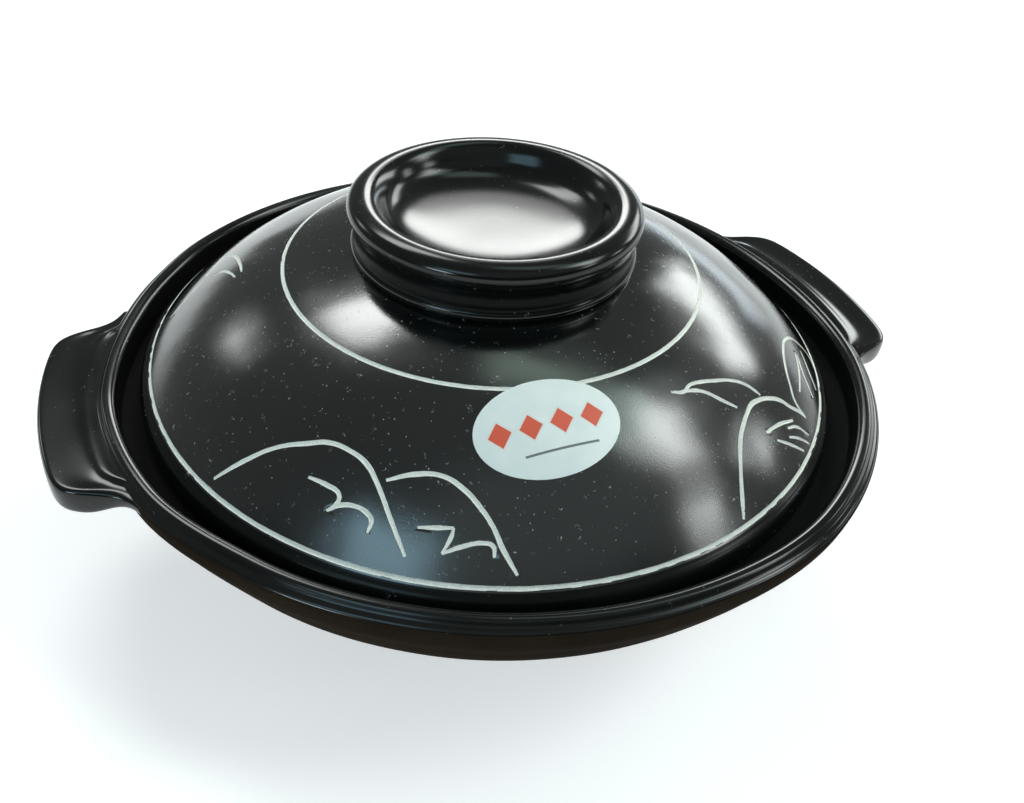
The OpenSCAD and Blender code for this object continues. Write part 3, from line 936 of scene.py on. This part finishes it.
def hold_still(piece):
    """In edit mode: hides what a press leaves alone, the inside with the seat and the foot."""
    mesh = bmesh.from_edit_mesh(piece.data)
    for vert in mesh.verts:
        r, z = hypot(vert.co.x, vert.co.y) / MM, vert.co.z / MM
        belly = r > FOOT_R + 10 and z < POT_H - BAND_H and faces_out(vert.normal, vert.co)
        vert.select = r < CHANNEL_R - 1.5 and not belly
    mesh.select_flush_mode()
    bpy.ops.mesh.hide(unselected=False)


# The rim is a little out of round, as a thrown pot's is; the seat and the foot stay true.
take(bowl)
bpy.ops.object.mode_set(mode="EDIT")
bpy.ops.mesh.select_mode(type="VERT")
hold_still(bowl)
for press in RIM_PRESSES:
    press_rim(bowl, *press)
bpy.ops.mesh.reveal()
lay_down()


# Bare clay in the cuts, and the last smoothing

# The cut faces of the dome lie below the thrown surface.
# Past the lower ring the glaze reflects less, as painted shade on the lid's edge.
paint(dome, LID_GLAZE, CLAY, EDGE_SHADED_GLAZE)
take(dome)
bpy.ops.object.mode_set(mode="EDIT")
bpy.ops.mesh.select_all(action="DESELECT")
bpy.ops.mesh.select_mode(type="FACE")
cut = bmesh.from_edit_mesh(dome.data)
for face in cut.faces:
    centre = face.calc_center_median()
    r = hypot(centre.x, centre.y) / MM
    depth = (dome_z(r) - centre.z / MM) / hypot(dome_slope(r), 1)
    face.select = CUT_R[0] < r < CUT_R[1] and CUT_DEPTH[0] < depth < CUT_DEPTH[1]
    face.material_index = 1 if face.select else 2 if r > RING_LOW_R + 0.9 else 0
bmesh.update_edit_mesh(dome.data)
bpy.ops.object.mode_set(mode="OBJECT")

# The glazed faces keep the even shading of the dome before it was cut.
glazed = dome.vertex_groups.new(name="glazed_surface")
clay_points = {v for p in dome.data.polygons if p.material_index == 1 for v in p.vertices}
glazed.add([v.index for v in dome.data.vertices if v.index not in clay_points],
           1.0, "REPLACE")
for piece in (bowl, right_ear, left_ear, knob, dome, label):
    shade(piece)
take(smooth_dome)
bpy.ops.object.shade_smooth()
finish_modifier(dome, "DATA_TRANSFER", object=smooth_dome, use_loop_data=True,
                data_types_loops={"CUSTOM_NORMAL"}, loop_mapping="POLYINTERP_NEAREST",
                vertex_group="glazed_surface")
dome.vertex_groups.clear()
bpy.data.objects.remove(smooth_dome)

for piece, body, node_name, slot in (
        (bowl, "pot", "pot_bowl", "black_glaze"),
        (right_ear, "pot", "right_ear", "black_glaze"),
        (left_ear, "pot", "left_ear", "black_glaze"),
        (dome, "lid", "lid_dome", "black_glaze"),
        (knob, "lid", "lid_knob", "black_glaze"),
        (label, "lid", "label_sticker", "label_foil")):
    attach(piece, body)
    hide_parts(node_name)


# Floor, light and camera
FLOOR_REACH = 12                  # metres
PAPER_LIFT = 0.52                 # how much paler the floor is seen than it is lit
WHITE = (1, 1, 1, 1)
lay_down()
bpy.ops.mesh.primitive_circle_add(vertices=96, radius=FLOOR_REACH, fill_type="NGON",
                                  location=(0, 0, 0))
floor = name_piece(bpy.context.object, "studio_floor")
paper, paper_tree, paper_surface = new_material("pale_paper")
paper_surface.inputs["Roughness"].default_value = 0.9
paper_surface.inputs["Specular IOR Level"].default_value = 0.0
paper_surface.inputs["Base Color"].default_value = (0.86, 0.86, 0.86, 1)
seen = paper_tree.nodes.new("ShaderNodeLightPath").outputs
seen = math(paper_tree, "MAXIMUM", seen["Is Camera Ray"],
            math(paper_tree, "MAXIMUM", seen["Is Glossy Ray"], seen["Is Transmission Ray"]))
paper_surface.inputs["Emission Color"].default_value = WHITE
paper_tree.links.new(math(paper_tree, "MULTIPLY", seen, PAPER_LIFT),
                     paper_surface.inputs["Emission Strength"])
paint(floor, paper)

PHOTO_TURN = -22.0                # from the photograph's left-right line to the ears' line

# Soft panels: direction and height in degrees as the photograph sees them, half width and
# half height and soft edge in degrees, colour and strength.
PANELS = (
    (8, 48.5, 7.5, 6.5, 4.5, (0.94, 1.0, 0.98), 8.8),
    (13, 58, 8, 6, 4.5, (0.75, 1.0, 0.9), 2.6),
    (0, 39.5, 5, 4.5, 4.0, (0.96, 1.0, 0.98), 6.0),
    (57, 68, 11, 7, 2.5, (0.75, 1.0, 0.85), 1.35),
    (116, 48.5, 11, 6, 1.5, (0.98, 1.0, 0.99), 9.2),
    (48, 22, 13.5, 5.5, 2.0, (0.95, 1.0, 0.98), 7.3),
    (88, 25, 8, 4.5, 2.0, (0.98, 1.0, 0.98), 12.5),
    (88, 34, 6, 3.5, 2.0, (0.98, 1.0, 0.98), 2.5),
    (145, 25, 4, 4, 2.5, (0.96, 1.0, 0.97), 4.5),
    (15, 20, 4, 3.5, 2.5, (0.95, 1.0, 0.99), 6.2),
    (-12, 28, 5, 4, 2.5, (0.94, 1.0, 0.98), 6.8),
    (62, 2, 13, 5, 0.8, (0.82, 0.94, 1.0), 3.0),
    (-129, 18, 8, 3.5, 1.0, (0.72, 0.90, 1.0), 20.0),
    (-121, 42, 12, 8, 3.5, (0.48, 0.82, 1.0), 2.9),
    (-65, 55, 25, 20, 8.0, (0.85, 1.0, 1.0), 0.16),
)
SHADE_TURN = -112.0               # the side of the camera, where the room is dark
ROOM_LOW, ROOM_HIGH = (0.2, 0.21, 0.2, 1), (0.19, 0.205, 0.2, 1)
ROOM_SHADE = (0.035, 0.037, 0.038, 1)
HORIZON_RISE = 0.03               # the glaze sees white from the floor's far edge up to here


def make_panel_group():
    """A soft-edged rectangle of light in the sky round the table."""
    group, got, out = new_group(
        "soft_panel",
        {"Azimuth": 0.0, "Elevation": 0.0, "Middle Azimuth": 0.0, "Middle Elevation": 0.0,
         "Half Width": 0.1, "Half Height": 0.1, "Edge": 0.05},
        ("Mask",))
    off = math(group, "SUBTRACT", got["Azimuth"], got["Middle Azimuth"])
    off = math(group, "WRAP", off, pi, -pi)
    across = math(group, "MULTIPLY", math(group, "ABSOLUTE", off),
                  math(group, "COSINE", got["Middle Elevation"]))
    rise = math(group, "ABSOLUTE", math(group, "SUBTRACT", got["Elevation"],
                                        got["Middle Elevation"]))
    masks = []
    for reach, half in ((across, "Half Width"), (rise, "Half Height")):
        inner = math(group, "SUBTRACT", got[half], got["Edge"])
        outer = math(group, "ADD", got[half], got["Edge"])
        masks.append(ramp(group, reach, outer, inner))
    group.links.new(math(group, "MULTIPLY", masks[0], masks[1]), out["Mask"])
    return group


world = bpy.data.worlds.new("studio_sky")
bpy.context.scene.world = world
world.use_nodes = True
sky = world.node_tree
direction = sky.nodes.new("ShaderNodeTexCoord").outputs["Generated"]
sky_parts = add_node(sky, "ShaderNodeSeparateXYZ", None, in0=direction)
azimuth = math(sky, "ARCTAN2", sky_parts.outputs[1], sky_parts.outputs[0])
elevation = math(sky, "ARCSINE", sky_parts.outputs[2])
rise = sky_parts.outputs[2]
total = blend_colour(sky, ramp(sky, rise, 0.05, 0.4), ROOM_LOW, ROOM_HIGH)
toward_shade = math(
    sky, "ADD", math(sky, "MULTIPLY", sky_parts.outputs[0], cos(radians(SHADE_TURN))),
    math(sky, "MULTIPLY", sky_parts.outputs[1], sin(radians(SHADE_TURN))))
shaded = math(sky, "MULTIPLY", ramp(sky, toward_shade, 0.15, 0.6),
              ramp(sky, rise, 0.62, 0.42))
total = blend_colour(sky, shaded, total, ROOM_SHADE)
soft_panel = make_panel_group()
for panel_azimuth, panel_height, half_width, half_height, edge, tint, strength in PANELS:
    panel = use_group(
        sky, soft_panel, Azimuth=azimuth, Elevation=elevation,
        Middle_Azimuth=radians((panel_azimuth + PHOTO_TURN + 180) % 360 - 180),
        Middle_Elevation=radians(panel_height), Half_Width=radians(half_width),
        Half_Height=radians(half_height), Edge=radians(edge))
    lit = tuple(c * strength for c in tint)
    scaled = add_node(sky, "ShaderNodeVectorMath", {"operation": "SCALE"}, in0=lit,
                      Scale=panel.outputs["Mask"])
    total = add_node(sky, "ShaderNodeVectorMath", {"operation": "ADD"}, in0=total,
                     in1=scaled.outputs[0]).outputs[0]
# The background is seen white. The glaze shows it above the floor's far edge, under the
# panels, and from there up it shows the room.
ray = sky.nodes.new("ShaderNodeLightPath").outputs
mirrored = math(sky, "MAXIMUM", ray["Is Glossy Ray"], ray["Is Transmission Ray"])
horizon = math(sky, "MULTIPLY", mirrored, ramp(sky, rise, HORIZON_RISE, 0.0))
total = blend_colour(sky, math(sky, "MAXIMUM", ray["Is Camera Ray"], horizon), total, WHITE)
background = sky.nodes["Background"]
sky.links.new(total, background.inputs["Color"])
background.inputs["Strength"].default_value = 1.0

# The camera that fits the photograph: 39 degrees above the table, turned a little.
PHOTO_W, PHOTO_H = 1024, 803
FOCAL = 970.18                    # pixels
AXIS_PIXEL = (462.87, 410.68)     # where the camera's axis meets the photograph
SENSOR_W = 36.0
CAMERA_ELEVATION = radians(39.16)
CAMERA_ROLL = radians(3.08)
CAMERA_SPOT = Vector((-6.29, -256.88, 178.77 + POT_H)) * MM
lay_down()
bpy.ops.object.camera_add()
camera = bpy.context.object
camera.name = "photo_camera"
turned_view = Matrix.Rotation(radians(PHOTO_TURN), 4, "Z")
tilted_view = Matrix.Rotation(pi / 2 - CAMERA_ELEVATION, 4, "X")
camera.matrix_world = (turned_view @ Matrix.Translation(CAMERA_SPOT) @ tilted_view
                       @ Matrix.Rotation(CAMERA_ROLL, 4, "Z"))
camera.data.sensor_width = SENSOR_W
camera.data.lens = SENSOR_W * FOCAL / PHOTO_W
camera.data.shift_x = (PHOTO_W / 2 - AXIS_PIXEL[0]) / PHOTO_W
camera.data.shift_y = (AXIS_PIXEL[1] - PHOTO_H / 2) / PHOTO_W
camera.data.clip_start = 0.01
bpy.context.scene.camera = camera

bpy.context.scene.view_settings.view_transform = "Standard"
